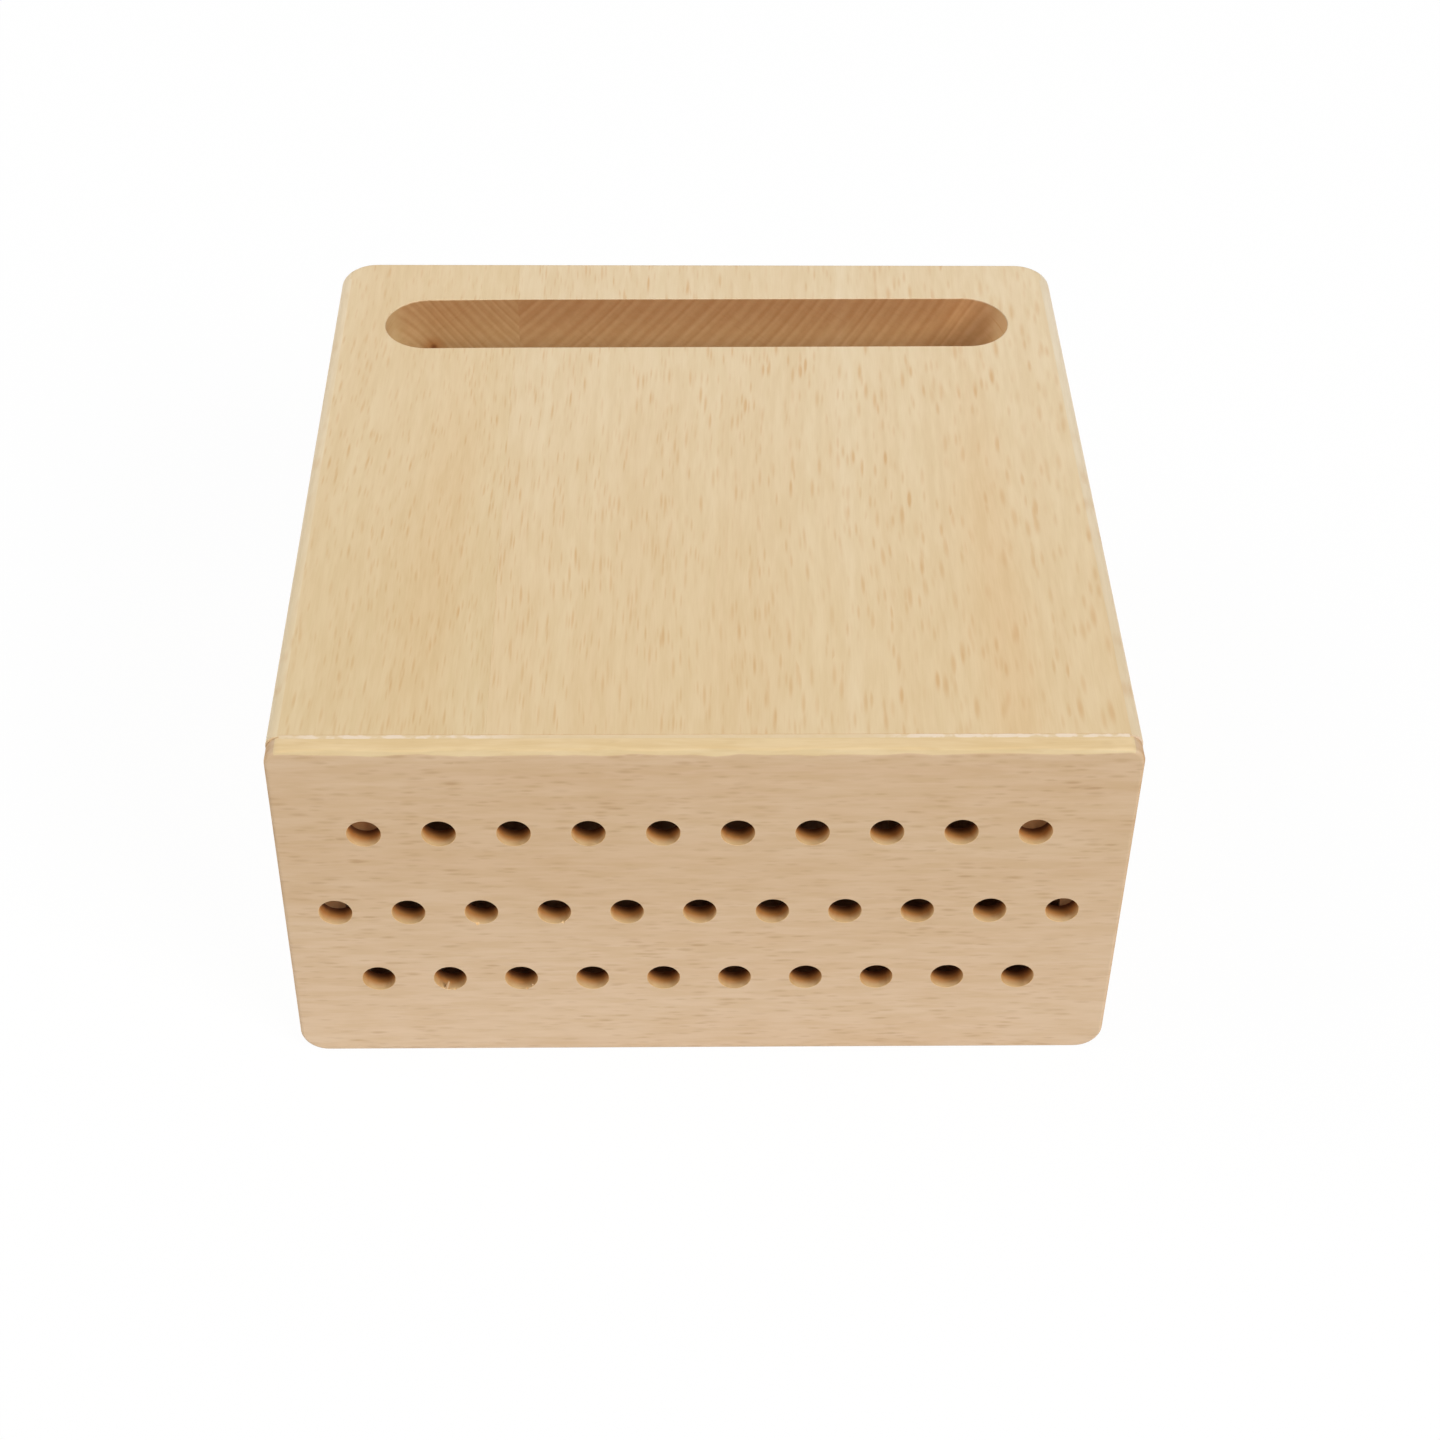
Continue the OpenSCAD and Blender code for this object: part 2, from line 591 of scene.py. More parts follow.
@dataclass(frozen=True)
class FloorFinish:
    """A pale studio floor that looks white to the eye and keeps the object's shadow.

    Attributes:
        name: name of the material.
        paper: colour that light bounces from.
        glow: how much of what the eye sees is plain white.
        white: strength of that white, which comes to 1 with the lit paper.
    """

    name: str = "studio_paper"
    paper: Colour = (0.82, 0.82, 0.81)
    glow: float = 0.95
    white: float = 1.012

    def material(self) -> bpy.types.Material:
        """Builds the node material.

        Returns:
            The finished material.
        """
        s = Shader(bpy.data.materials.new(self.name))
        lit = s.node("ShaderNodeBsdfDiffuse", None, {"Color": (*self.paper, 1.0)})
        white = s.node("ShaderNodeEmission", None, {"Strength": self.white})
        looks = {0: s.seen() * self.glow, 1: lit, 2: white}
        return s.finish(s.node("ShaderNodeMixShader", None, looks))


DARKER_TO_SLOT_RIM = Shade(2, 63.0, 75.0, (0.81, 0.72, 0.68))  # the slot's wall, darkest at the rim
INSIDE_SHADE_TONE = (0.62, 0.58, 0.7)  # colour factor of the inner sides: painted shade inside the hollow
HOLE_BOTTOM_SHADE = (0.58, 0.48, 0.41)  # colour factor of end grain behind the plate, seen at the bottom of the holes: painted shade


@dataclass(frozen=True)
class Finishes:
    """The finishes of the caddy's boards, each cut from its own place in a log, and of the glue.

    Attributes:
        plate: the drilled plate's face, lighter and cooler towards the bottom as painted light
            bounced from the floor.
        plate_edge: its trimmed upper edge, a lighter copy of the plate's wood as painted light,
            with painted shade along its lower band.
        plate_hole: the walls of its holes, lightened as painted light and darkened deeper in as
            painted shade, partly browned by the drill.
        fibre: torn fibres in the holes.
        top_left: the left board of the top.
        top_left_painted_sheen: the rounding along its side, paler as a painted sheen.
        top_left_routed: its part of the slot's wall, cooler towards the slot's end as painted
            light.
        top_right: the right board of the top.
        top_right_painted_sheen: the rounding along its side, paler as a painted sheen.
        top_right_routed: its part of the slot's wall, much lighter towards the slot's end as
            painted light.
        side_left: the left side board.
        side_right: the right side board.
        rear: the rear board.
        base_right: the right board of the base.
        base_left: the left board of the base.
        block: the sawn blocks inside.
        glue: the line of glue behind the plate.
    """

    plate: BeechFinish = BeechFinish(
        name="beech_plate",
        fibres=Fibres.ALONG_X,
        heart=(55.0, 20.0),
        face=srgb(214, 185, 151),
        seed=3.7,
        end_tone=(0.98, 0.93, 0.86),
        rings=0.1,
        rays=1.0,
        ray_size=0.78,
        ray_tone=(0.83, 0.77, 0.70),
        threads=1.0,
        # Lighter and cooler towards the bottom: painted light bounced from the floor.
        shades=(Shade(2, 54.0, 6.0, (1.105, 1.15, 1.24)),),
    )
    plate_edge: BeechFinish = replace(
        plate,
        name="beech_plate_edge",
        # Lighter than the plate's face: painted light on the upward edge.
        face=srgb(236, 210, 164),
        rays=0.35,
        # Darker along the lower band: painted shade over the lamp's highlight.
        shades=(Shade(2, 75.48, 75.1, (0.87, 0.89, 0.91)),),
    )
    plate_hole: BeechFinish = replace(
        plate,
        name="beech_drilled",
        # Lighter walls: painted light.
        cut_tone_and_painted_light=(1.34, 1.36, 1.18),
        shades=(
            # Browner deeper in, partly the drill's burn and partly painted shade, then near black
            # as painted shade.
            Shade(1, -77.45, -75.55, (0.71, 0.46, 0.25)),
            Shade(1, -76.15, -73.95, (0.19, 0.12, 0.08)),
        ),
    )
    fibre: BeechFinish = BeechFinish(
        name="beech_raw_fibre",
        fibres=Fibres.ALONG_X,
        heart=(55.0, 20.0),
        face=srgb(212, 180, 140),
        seed=3.7,
        rays=0.0,
    )
    top_left: BeechFinish = BeechFinish(
        name="beech_top_left",
        fibres=Fibres.ALONG_Y,
        heart=(65.0, 163.5),
        ring_gap=1.8,
        end_tone=(0.92, 0.82, 0.77),
        face=srgb(236, 213, 174),
        seed=11.3,
        ray_size=1.05,
        rays=0.8,
        lean=0.02,
        fade=(0.94, 0.93, 0.88),
        streaks=(Streak(-48.0, 5.0, (0.985, 0.955, 0.92), 60.0, 0.0),),
        scorches=(Scorch((-55.8, 63.6, 63.8), 1.2, 3.6),),
    )
    # Paler and cooler on the rounding: a painted sheen.
    top_left_painted_sheen: BeechFinish = replace(
        top_left, name="beech_top_left_eased", cut_tone_and_painted_light=(1.04, 1.09, 1.20)
    )
    top_left_routed: BeechFinish = replace(
        top_left,
        name="beech_top_left_routed",
        cut_tone_and_painted_light=(1.04, 0.94, 0.74),
        # Cooler towards the slot's left end: painted light.
        shades=(DARKER_TO_SLOT_RIM, Shade(0, -52.0, -63.0, (0.98, 1.03, 1.07))),
    )
    top_right: BeechFinish = BeechFinish(
        name="beech_top_right",
        fibres=Fibres.ALONG_Y,
        heart=(-149.0, 185.5),
        end_tone=(0.92, 0.82, 0.77),
        face=srgb(238, 217, 181),
        seed=23.9,
        ray_size=1.4,
        lean=0.025,
        fade=(0.943, 0.905, 0.83),
        streaks=(
            Streak(28.0, 1.5, (1.03, 1.055, 1.10)),
            Streak(54.5, 4.5, (0.985, 0.945, 0.90), 60.0, -20.0),
        ),
    )
    # Paler and cooler on the rounding: a painted sheen.
    top_right_painted_sheen: BeechFinish = replace(
        top_right, name="beech_top_right_eased", cut_tone_and_painted_light=(0.99, 1.05, 1.18)
    )
    top_right_routed: BeechFinish = replace(
        top_right,
        name="beech_top_right_routed",
        cut_tone_and_painted_light=(0.975, 0.82, 0.605),
        # Much lighter towards the slot's right end: painted light.
        shades=(DARKER_TO_SLOT_RIM, Shade(0, 50.0, 62.0, (1.27, 1.36, 1.48))),
    )
    side_left: BeechFinish = BeechFinish(
        name="beech_side_left",
        fibres=Fibres.ALONG_Y,
        heart=(-10.0, -25.0),
        face=srgb(226, 198, 158),
        seed=31.1,
        lean=-0.01,
    )
    side_right: BeechFinish = BeechFinish(
        name="beech_side_right",
        fibres=Fibres.ALONG_Y,
        heart=(5.0, 110.0),
        face=srgb(228, 201, 162),
        seed=47.5,
        lean=0.015,
    )
    rear: BeechFinish = BeechFinish(
        name="beech_rear",
        fibres=Fibres.ALONG_X,
        heart=(10.0, -30.0),
        face=srgb(228, 200, 160),
        seed=59.2,
        lean=0.012,
    )
    base_right: BeechFinish = BeechFinish(
        name="beech_base_right",
        fibres=Fibres.ALONG_Y,
        heart=(90.0, 90.0),
        face=srgb(224, 196, 155),
        seed=67.7,
        lean=0.02,
    )
    base_left: BeechFinish = BeechFinish(
        name="beech_base_left",
        fibres=Fibres.ALONG_Y,
        heart=(20.0, -70.0),
        face=srgb(228, 204, 165),
        seed=71.4,
        lean=-0.015,
    )
    block: BeechFinish = BeechFinish(
        name="beech_sawn",
        fibres=Fibres.ALONG_Y,
        heart=(30.0, 40.0),
        face=srgb(205, 170, 126),
        end_tone=(0.78, 0.68, 0.60),
        seed=83.3,
        rays=0.5,
    )
    glue: GlueFinish = GlueFinish()


def dim(wood: BeechFinish) -> bpy.types.Material:
    """The inner side of a board, darkened as painted shade inside the hollow."""
    return replace(wood, name=wood.name + "_inside", cut_tone_and_painted_light=INSIDE_SHADE_TONE).material()


def painted_end_shade(wood: BeechFinish) -> bpy.types.Material:
    """The end of a board where it is glued to the plate, darkened as painted shade at the bottom of
    the holes.
    """
    return replace(wood, name=wood.name + "_end", end_tone=HOLE_BOTTOM_SHADE).material()


# ------------------------------------------------------------------ modelling by operator


def pick(*pieces: bpy.types.Object) -> None:
    """Deselects everything, then selects some pieces.

    Args:
        *pieces: the pieces, of which the last becomes the active one.
    """
    bpy.ops.object.select_all(action="DESELECT")
    for piece in pieces:
        piece.select_set(True)
    bpy.context.view_layer.objects.active = pieces[-1]


def name_new(name: str) -> bpy.types.Object:
    """Names the primitive that was just added and puts its place into its mesh.

    Args:
        name: its new name.

    Returns:
        The primitive.
    """
    piece = bpy.context.object
    piece.name = piece.data.name = name
    bpy.ops.object.transform_apply(location=True, rotation=True, scale=True)
    return piece


def add_block(name: str, low: Vector, high: Vector) -> bpy.types.Object:
    """Adds a squared block between two opposite corners.

    Args:
        name: name of the piece.
        low: its lowest corner.
        high: its highest corner.

    Returns:
        The new piece, with its place in its mesh.
    """
    bpy.ops.object.select_all(action="DESELECT")
    bpy.ops.mesh.primitive_cube_add(size=1, location=(low + high) / 2, scale=high - low)
    return name_new(name)


def copy_of(piece: bpy.types.Object, name: str) -> bpy.types.Object:
    """Copies a piece together with its mesh.

    Args:
        piece: the piece to copy.
        name: name of the copy.

    Returns:
        The copy.
    """
    twin = piece.copy()
    twin.data = piece.data.copy()
    twin.name = twin.data.name = name
    bpy.context.collection.objects.link(twin)
    return twin


def joined(pieces: list[bpy.types.Object]) -> bpy.types.Object:
    """Joins pieces into one and puts their places into its mesh.

    Args:
        pieces: the pieces to join.

    Returns:
        The one piece.
    """
    pick(*pieces)
    bpy.ops.object.join()
    bpy.ops.object.transform_apply(location=True, rotation=True, scale=True)
    return bpy.context.object


def drop(piece: bpy.types.Object) -> None:
    """Throws a helper piece and its mesh away.

    Args:
        piece: the helper.
    """
    mesh = piece.data
    bpy.data.objects.remove(piece)
    bpy.data.meshes.remove(mesh)


def select_edges(piece: bpy.types.Object, wanted: EdgeTest) -> int:
    """Goes to edit mode and selects the edges that pass a test.

    Args:
        piece: the piece to work on.
        wanted: says whether an edge is wanted.

    Returns:
        How many edges are selected.
    """
    pick(piece)
    bpy.ops.object.mode_set(mode="EDIT")
    bpy.ops.mesh.select_mode(type="EDGE")
    bpy.ops.mesh.select_all(action="DESELECT")
    mesh = bmesh.from_edit_mesh(piece.data)
    chosen = [edge for edge in mesh.edges if wanted(edge)]
    for edge in chosen:
        edge.select_set(True)
    bmesh.update_edit_mesh(piece.data)
    return len(chosen)


def bevel(piece: bpy.types.Object, wanted: EdgeTest, width: float, segments: int) -> None:
    """Rounds the edges that pass a test.

    Args:
        piece: the piece to work on.
        wanted: says whether an edge is wanted.
        width: radius of the rounding, or leg of the chamfer where segments is 1.
        segments: faces across the rounding.
    """
    if select_edges(piece, wanted):
        bpy.ops.mesh.bevel(
            offset=width,
            offset_type="OFFSET",
            segments=segments,
            affect="EDGES",
            clamp_overlap=False,
        )
    bpy.ops.object.mode_set(mode="OBJECT")


def carve(piece: bpy.types.Object, tool: bpy.types.Object, operation: str = "DIFFERENCE") -> None:
    """Applies a Boolean modifier to a piece and throws the tool away.

    Args:
        piece: the piece to work on.
        tool: the cutter.
        operation: what the modifier does with it.
    """
    pick(piece)
    modifier = piece.modifiers.new("carve", "BOOLEAN")
    modifier.operation = operation
    modifier.solver = "EXACT"
    modifier.object = tool
    bpy.ops.object.modifier_apply(modifier=modifier.name)
    drop(tool)


def at(value: float, target: float, reach: float = TOUCH) -> bool:
    """Whether two values are the same within a reach."""
    return abs(value - target) < reach


def on_plane(edge: bmesh.types.BMEdge, axis: int, place: float) -> bool:
    """Whether an edge lies in the plane that crosses an axis at a place."""
    return all(at(vertex.co[axis], place) for vertex in edge.verts)


def runs_along(edge: bmesh.types.BMEdge, axis: int) -> bool:
    """Whether an edge runs along an axis."""
    step = edge.verts[1].co - edge.verts[0].co
    return abs(step[axis]) > ALIGNED * step.length


def flat_faces(edge: bmesh.types.BMEdge, axis: int) -> int:
    """How many of an edge's faces are square to an axis."""
    return sum(abs(face.normal[axis]) > ALIGNED for face in edge.link_faces)


def has_wall(edge: bmesh.types.BMEdge, axis: int) -> bool:
    """Whether one of an edge's faces runs along an axis."""
    return any(abs(face.normal[axis]) < SQUARE for face in edge.link_faces)


def roughen(
    piece: bpy.types.Object,
    weight: Callable[[Vector], float],
    depth: float,
    grain: float,
    direction: str,
    level: float = 1.0,
) -> None:
    """Moves some vertices by smooth noise, always to the same side.

    Args:
        piece: the piece to work on.
        weight: how much a vertex moves, 0 to 1, by its place.
        depth: greatest move, negative to move up the axis instead of down.
        grain: size of the noise.
        direction: X, Y, Z or NORMAL.
        level: height of the noise, 0 to 1, that leaves a vertex where it is.
    """
    group = piece.vertex_groups.new(name="roughened")
    for vertex in piece.data.vertices:
        share = weight(vertex.co)
        if share > 0:
            group.add([vertex.index], share, "REPLACE")
    texture = bpy.data.textures.new("unevenness", "CLOUDS")
    texture.noise_scale = grain
    texture.noise_depth = 1
    pick(piece)
    modifier = piece.modifiers.new("unevenness", "DISPLACE")
    modifier.texture = texture
    modifier.texture_coords = "LOCAL"
    modifier.direction = direction
    modifier.strength = depth
    modifier.mid_level = level
    modifier.vertex_group = group.name
    bpy.ops.object.modifier_apply(modifier=modifier.name)
    piece.vertex_groups.clear()


def settle(
    piece: bpy.types.Object,
    finish: bpy.types.Material,
    nodes: Iterable[str] = (),
    inlays: Iterable[Inlay] = (),
) -> None:
    """Shades a finished piece, dresses it and ties it to the frame.

    Args:
        piece: the finished piece.
        finish: its material.
        nodes: CAD nodes that the piece stands for.
        inlays: further materials, and which faces get each by their middle and corners.
    """
    pick(piece)
    bpy.ops.object.shade_smooth_by_angle(angle=SMOOTH_ANGLE)
    modifier = piece.modifiers.new("even_shading", "WEIGHTED_NORMAL")
    modifier.keep_sharp = True
    modifier.weight = 100
    bpy.ops.object.modifier_apply(modifier=modifier.name)
    piece.data.materials.clear()
    piece.data.materials.append(finish)
    for face in piece.data.polygons:
        face.material_index = 0
    for slot_number, (other, wanted) in enumerate(inlays, start=1):
        piece.data.materials.append(other)
        corners = [wanted(corner.co) for corner in piece.data.vertices]
        for face in piece.data.polygons:
            if wanted(face.center) and all(corners[c] for c in face.vertices):
                face.material_index = slot_number
    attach(piece, BODY)
    if nodes:
        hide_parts(*nodes)
    LOG.info("%s: %d faces", piece.name, len(piece.data.polygons))


# ------------------------------------------------------------------ sub-assemblies


@dataclass
class RoundedBlock:
    """The glued and sanded block that all boards but the plate are cut from.

    Attributes:
        low: lowest corner of the whole caddy.
        high: highest corner of the whole caddy.
        corner: radius of the lower side edges.
        back_corner: radius of the upright back edges.
        side_ease: radius sanded on the upper side edges.
        ease: radius sanded on the back's upper and lower edges.
        seam: width of the hairline chamfer on each side of a glue joint.
        ease_steps: number of steps in which the upper edges' radius changes round a corner.
        solid: the finished block.
    """

    low: Vector
    high: Vector
    corner: float = 5 * MM
    back_corner: float = 6.5 * MM
    side_ease: float = 2.2 * MM
    ease: float = 1.2 * MM
    seam: float = 0.03 * MM
    ease_steps: int = 12
    solid: bpy.types.Object | None = field(default=None, init=False)

    def build(self) -> None:
        """Models the whole block with its sanded edges."""
        self.solid = add_block("block", self.low, self.high)
        bottom, top, back = self.low.z, self.high.z, self.high.y
        self._round(
            self.back_corner,
            10,
            [
                (lambda e: runs_along(e, 2) and on_plane(e, 1, back), self.back_corner),
                (lambda e: runs_along(e, 1) and on_plane(e, 2, bottom), self.corner),
                (
                    lambda e: runs_along(e, 0) and on_plane(e, 2, bottom) and on_plane(e, 1, back),
                    self.ease,
                ),
            ],
        )
        self._round(
            self.side_ease,
            6,
            [
                (
                    lambda e, share=step / self.ease_steps: on_plane(e, 2, top)
                    and not on_plane(e, 1, self.low.y)
                    and at(self._along_side(e), share, 0.5 / self.ease_steps),
                    self.ease + (self.side_ease - self.ease) * step / self.ease_steps,
                )
                for step in range(self.ease_steps + 1)
            ],
        )

    def _along_side(self, edge: bmesh.types.BMEdge) -> float:
        """How far an edge runs along the sides rather than along the back, 0 to 1."""
        step = edge.verts[1].co - edge.verts[0].co
        return abs(step.y) / step.length

    def _round(self, widest: float, segments: int, edges: list[tuple[EdgeTest, float]]) -> None:
        """Rounds edges, each with its own radius.

        Args:
            widest: greatest of the radii.
            segments: faces across a rounding.
            edges: which edges to round, and their radius.
        """
        for wanted, radius in edges:
            select_edges(self.solid, wanted)
            bpy.ops.transform.edge_bevelweight(value=radius / widest)
            bpy.ops.object.mode_set(mode="OBJECT")
        modifier = self.solid.modifiers.new("corners", "BEVEL")
        modifier.limit_method = "WEIGHT"
        modifier.offset_type = "OFFSET"
        modifier.width = widest
        modifier.segments = segments
        modifier.use_clamp_overlap = False
        pick(self.solid)
        bpy.ops.object.modifier_apply(modifier=modifier.name)
        self.solid.data.attributes.remove(self.solid.data.attributes["bevel_weight_edge"])

    def board(self, name: str, node: str) -> bpy.types.Object:
        """Cuts one board out of the block, where its CAD node is.

        Args:
            name: name of the new piece.
            node: CAD node whose box it fills.

        Returns:
            The board.
        """
        low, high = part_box(node)
        joints = [
            (axis, corner[axis])
            for corner, outer in ((low, self.low), (high, self.high))
            for axis in range(3)
            if not at(corner[axis], outer[axis], FLUSH)
        ]
        spare = 1 * MM
        low = Vector(a - spare if at(a, b, FLUSH) else a for a, b in zip(low, self.low))
        high = Vector(a + spare if at(a, b, FLUSH) else a for a, b in zip(high, self.high))
        piece = copy_of(self.solid, name)
        carve(piece, add_block("saw", low, high), "INTERSECT")

        def rims_a_joint(edge: bmesh.types.BMEdge) -> bool:
            """Whether an edge runs round a face that is glued."""
            rims = (on_plane(edge, a, place) and flat_faces(edge, a) == 1 for a, place in joints)
            return any(rims)

        bevel(piece, rims_a_joint, self.seam, 1)
        return piece


@dataclass(frozen=True)
class Hollow:
    """The space inside the caddy.

    Attributes:
        low: its lowest corner.
        high: its highest corner.
    """

    low: Vector
    high: Vector

    @classmethod
    def of_frame(cls) -> "Hollow":
        """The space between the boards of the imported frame.

        Returns:
            The hollow.
        """
        left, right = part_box("left_side"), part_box("right_side")
        front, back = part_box("hole_plate")[1][1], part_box("back_board")[0][1]
        low = Vector((left[1][0], front, left[0][2]))
        return cls(low, Vector((right[0][0], back, left[1][2])))

    def bounds(self, place: Vector) -> bool:
        """Whether a place lies in one of the planes that bound the space."""
        return any(at(place[axis], end[axis]) for end in (self.low, self.high) for axis in range(3))


@dataclass
class GlueLine:
    """Glue that stands in the hairline between the plate and the top boards.

    Attributes:
        start: its left end, on the joint and level with the top.
        end: its right end.
        glue: its material.
        width: its width.
        depth: how far it reaches into the joint.
        ease: radius of its upper edges.
        swell: height of its swellings.
        swell_size: length of a swelling.
        cuts: number of cuts along it.
    """

    start: Vector
    end: Vector
    glue: bpy.types.Material
    width: float = 1.0 * MM
    depth: float = 0.12 * MM
    ease: float = 0.04 * MM
    swell: float = 0.05 * MM
    swell_size: float = 2.2 * MM
    cuts: int = 280

    @classmethod
    def behind_plate(cls, glue: bpy.types.Material, reach: float = 72.5 * MM) -> "GlueLine":
        """The line along the top of the joint behind the plate.

        Args:
            glue: its material.
            reach: distance from its middle to each end.

        Returns:
            The line.
        """
        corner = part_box("hole_plate")[1]
        joint, side = Vector((0, corner[1], corner[2])), Vector((reach, 0, 0))
        return cls(joint - side, joint + side, glue)

    def build(self) -> bpy.types.Object:
        """Models the line.

        Returns:
            The glue.
        """
        low = self.start + Vector((0, -self.width / 2, -self.depth)) + Vector((1, 1, 0)) * TOUCH
        high = self.end + Vector((0, self.width / 2, 0)) - Vector((1, 1, 1)) * TOUCH
        line = add_block("glue_line", low, high)
        select_edges(line, lambda e: runs_along(e, 0))
        bpy.ops.mesh.subdivide(number_cuts=self.cuts)
        bpy.ops.object.mode_set(mode="OBJECT")
        bevel(line, lambda e: runs_along(e, 0) and on_plane(e, 2, high.z), self.ease, 2)
        upper = high.z - self.swell
        roughen(line, lambda place: float(place.z > upper), self.swell, self.swell_size, "Z")
        return line

    def dress(self, line: bpy.types.Object) -> None:
        """Gives the line its finish."""
        settle(line, self.glue)

    def on_joint(self, place: Vector) -> bool:
        """Whether a place is on the end of a board that is glued to the plate."""
        return at(place.y, self.start.y)

    def groove(self) -> bpy.types.Object:
        """The cutter for the shallow groove that the glue lies in."""
        reach = Vector((0, self.width / 2, self.depth))
        return add_block("groove_cutter", self.start - reach, self.end + reach)


@dataclass
class TopPanel:
    """Two edge-glued boards with a long round-ended slot near the back.

    Attributes:
        block: the block that the boards come from.
        slot_width: width of the slot.
        slot_reach: distance from the middle of the slot to each end.
        slot_y: place of the middle of the slot.
        slot_turn: how far the router ran off square, anticlockwise seen from above.
        rim: radius broken on the slot's upper rim.
        cutter_depth: how deep the router went.
    """

    block: RoundedBlock
    slot_width: float = 18 * MM
    slot_reach: float = 64.4 * MM
    slot_y: float = 54.55 * MM
    slot_turn: float = math.radians(0.5)
    rim: float = 0.25 * MM
    cutter_depth: float = 20 * MM

    def build(self) -> Pieces:
        """Models both boards.

        Returns:
            The boards by the name of their CAD node.
        """
        boards = {}
        for node, name in (
            ("top_board_narrow", "slotted_board_left"),
            ("top_board_wide", "slotted_board_right"),
        ):
            piece = self.block.board(name, node)
            carve(piece, self._cutter())
            top = self.block.high.z

            def rims_the_slot(edge: bmesh.types.BMEdge) -> bool:
                """Whether an edge belongs to the slot's upper rim."""
                falls = on_plane(edge, 2, top) and has_wall(edge, 2)
                return falls and self.in_the_slot(edge.verts[0].co)

            bevel(piece, rims_the_slot, self.rim, 3)
            boards[node] = piece
        return boards

    def dress(self, boards: Pieces, finish: Finishes, hollow: Hollow, line: GlueLine) -> None:
        """Grooves the boards for the glue and gives each surface its finish.

        Args:
            boards: the boards by the name of their CAD node.
            finish: the finishes.
            hollow: the space under the boards.
            line: the glue along their front ends.
        """
        left = (finish.top_left, finish.top_left_painted_sheen, finish.top_left_routed)
        right = (finish.top_right, finish.top_right_painted_sheen, finish.top_right_routed)
        for node, slot, (wood, painted_sheen, routed) in (
            ("top_board_narrow", "top_beech_left", left),
            ("top_board_wide", "top_beech_right", right),
        ):
            # The inner sides get painted shade, the roundings a painted sheen and the slot's ends
            # painted light.
            inlays = [
                (dim(wood), hollow.bounds),
                (painted_sheen.material(), self.on_side_edge),
                (routed.material(), self.in_the_slot),
                (line.glue, line.on_joint),
            ]
            carve(boards[node], line.groove())
            settle(boards[node], wood.material(), [node], inlays)

    def on_side_edge(self, place: Vector) -> bool:
        """Whether a place is on the rounding along one of the upper side edges."""
        inward, down = self.block.high.x - abs(place.x), self.block.high.z - place.z
        return max(inward, down) < self.block.side_ease + TOUCH

    def in_the_slot(self, place: Vector) -> bool:
        """Whether a place is on the slot's wall.

        Args:
            place: the place.

        Returns:
            Whether it is.
        """
        straight = self.slot_reach - self.slot_width / 2
        flat = Matrix.Rotation(-self.slot_turn, 3, "Z") @ (place - Vector((0, self.slot_y, 0)))
        over = max(0.0, abs(flat.x) - straight)
        return math.hypot(over, flat.y) < self.slot_width / 2 + TOUCH

    def _cutter(self) -> bpy.types.Object:
        """Models the slot's cutter.

        Returns:
            A round-ended bar as wide as the slot.
        """
        spare = 3 * MM
        half = Vector((self.slot_reach, self.slot_width / 2, 0))
        middle = Vector((0, self.slot_y, 0))
        low = middle - half + Vector((0, 0, self.block.high.z - self.cutter_depth))
        high = middle + half + Vector((0, 0, self.block.high.z + spare))
        bar = add_block("slot_cutter", low, high)
        bevel(bar, lambda e: runs_along(e, 2), (self.slot_width - TOUCH) / 2, 24)
        pick(bar)
        bpy.ops.object.mode_set(mode="EDIT")
        bpy.ops.mesh.select_all(action="SELECT")
        bpy.ops.transform.rotate(value=-self.slot_turn, orient_axis="Z", center_override=middle)
        bpy.ops.object.mode_set(mode="OBJECT")
        return bar


@dataclass(frozen=True)
class Tear:
    """A place on a hole's front rim where the drill tore the wood.

    Attributes:
        hole: name of the hole's mount.
        turn: its place on the rim in degrees, from straight down towards the right.
        width: its width along the rim.
        reach: how far it goes, out from the rim for a nick and inwards for a fibre.
    """

    hole: str
    turn: float
    width: float
    reach: float

    def place(self, centres: dict[str, Vector], radius: float) -> tuple[Vector, Vector]:
        """Where the tear is.

        Args:
            centres: centres of the holes by the name of their mount.
            radius: radius of the holes.

        Returns:
            Its place on the rim and the direction out of the hole.
        """
        turn = math.radians(self.turn)
        out = Vector((math.sin(turn), 0, -math.cos(turn)))
        return centres[self.hole] + out * radius, out


